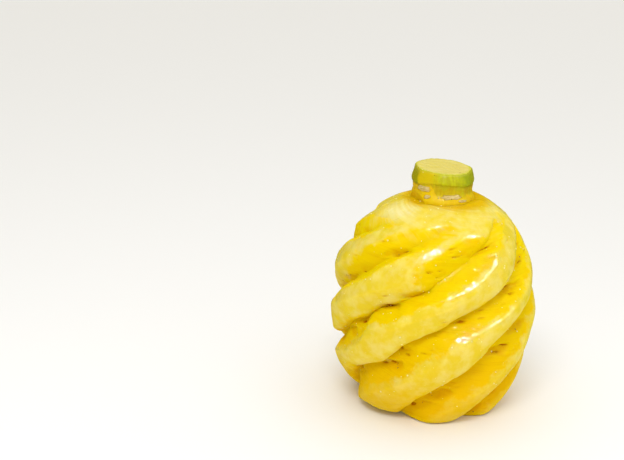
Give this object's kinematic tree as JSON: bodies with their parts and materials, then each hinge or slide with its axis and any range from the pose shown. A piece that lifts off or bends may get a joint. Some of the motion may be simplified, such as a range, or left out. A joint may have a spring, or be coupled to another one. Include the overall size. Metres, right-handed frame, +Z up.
{
  "type": "peeled pineapple",
  "caption": "Whole peeled pineapple, its eyes cut out in V-shaped grooves that wind round the body, with a short stalk stub left on top as a handle.",
  "frame": {"origin": "centre of the flat foot that the fruit stands on", "axes": "+Z up along the fruit towards the stalk, -Y towards the front, +X to the right as seen from the front"},
  "size_m": [0.0955, 0.0975, 0.1146],
  "materials": {
    "flesh": "wet pineapple flesh, pale lemon on the ridges and saturated golden yellow in the grooves, slightly translucent with a glossy film of juice",
    "stalk": "moist stalk with a lime green band of rind, an olive lower part with papery scars and a pale cream fibrous cut on top"
  },
  "bodies": {
    "root": {"peeled_pineapple": "flesh"}
  },
  "joints": []
}
